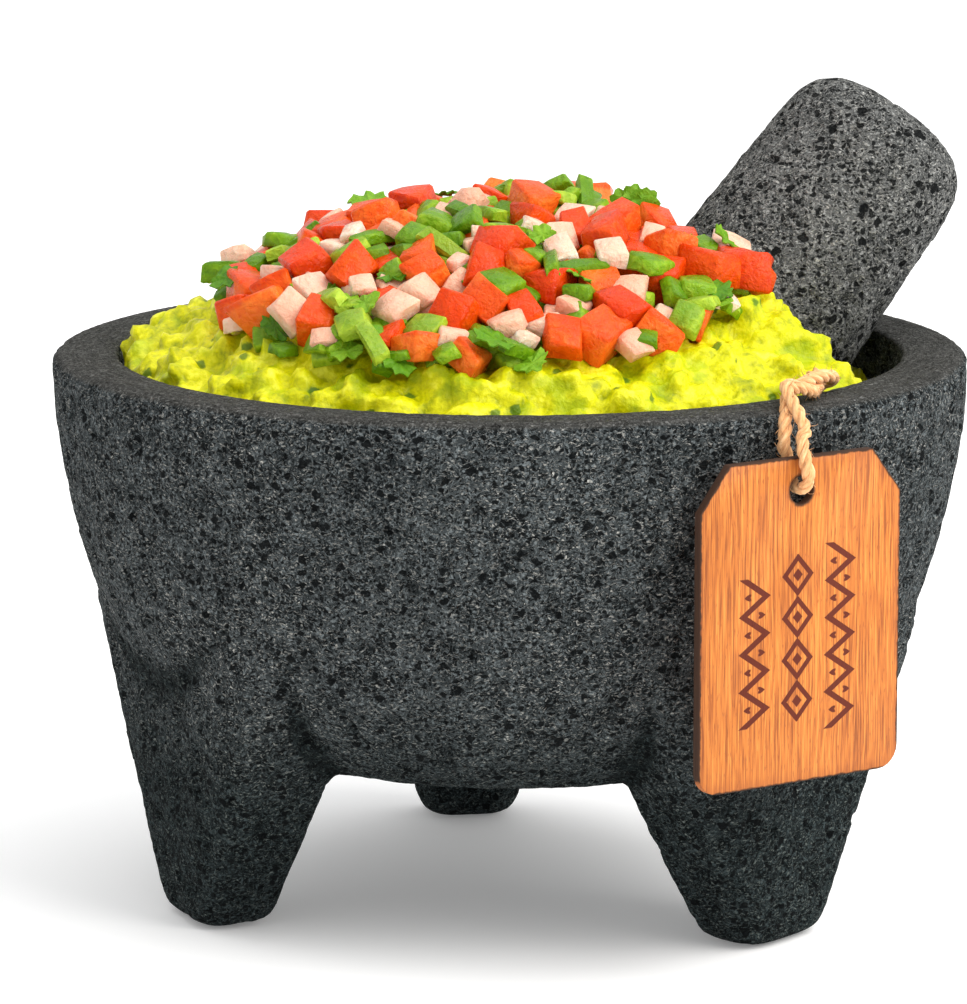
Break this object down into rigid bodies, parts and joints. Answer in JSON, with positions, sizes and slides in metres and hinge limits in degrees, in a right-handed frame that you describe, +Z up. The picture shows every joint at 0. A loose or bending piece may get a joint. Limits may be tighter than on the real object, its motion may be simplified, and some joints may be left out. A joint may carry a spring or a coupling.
{
  "type": "molcajete",
  "caption": "Round volcanic stone mortar on tapered legs, with its loose stone pestle leaning in the hollow and a wooden hang tag on twine over the rim.",
  "frame": {"origin": "on the floor, under the axis of the bowl", "axes": "+Z up along the bowl's axis, -Y towards the front, +X to the right, where the tejolote leans"},
  "size_m": [0.2034, 0.2054, 0.181],
  "materials": {
    "bowl_stone": "carved vesicular basalt, matte, dark charcoal grey with pores and light specks",
    "pestle_stone": "carved vesicular basalt, matte, a lighter grey than the bowl",
    "tag_wood": "fine straight grain, satin, with dark burnt edges and a burnt-in ornament",
    "jute": "natural laid jute twine, matte, with loose fibres"
  },
  "bodies": {
    "bowl": {"bowl": "bowl_stone", "twine_over_rim": "jute", "twine_knot": "jute"},
    "tejolote": {"tejolote": "pestle_stone"},
    "twine_drop": {"twine_drop": "jute"},
    "tag": {"tag": "tag_wood"}
  },
  "joints": [
    {"name": "tejolote_lift", "type": "slide", "parent": "bowl", "child": "tejolote", "axis": [0.5374, 0.2004, 0.8192], "range_m": [0, 0.16]},
    {"name": "twine_lift", "type": "hinge", "parent": "bowl", "child": "twine_drop", "pos_m": [0.05788, -0.08108, 0.1218], "axis": [-0.8241, -0.5664, 0], "range_deg": [0, 85]},
    {"name": "tag_swing", "type": "hinge", "parent": "twine_drop", "child": "tag", "pos_m": [0.06041, -0.08789, 0.1078], "axis": [0.5664, -0.8241, 0], "range_deg": [-20, 20]}
  ]
}
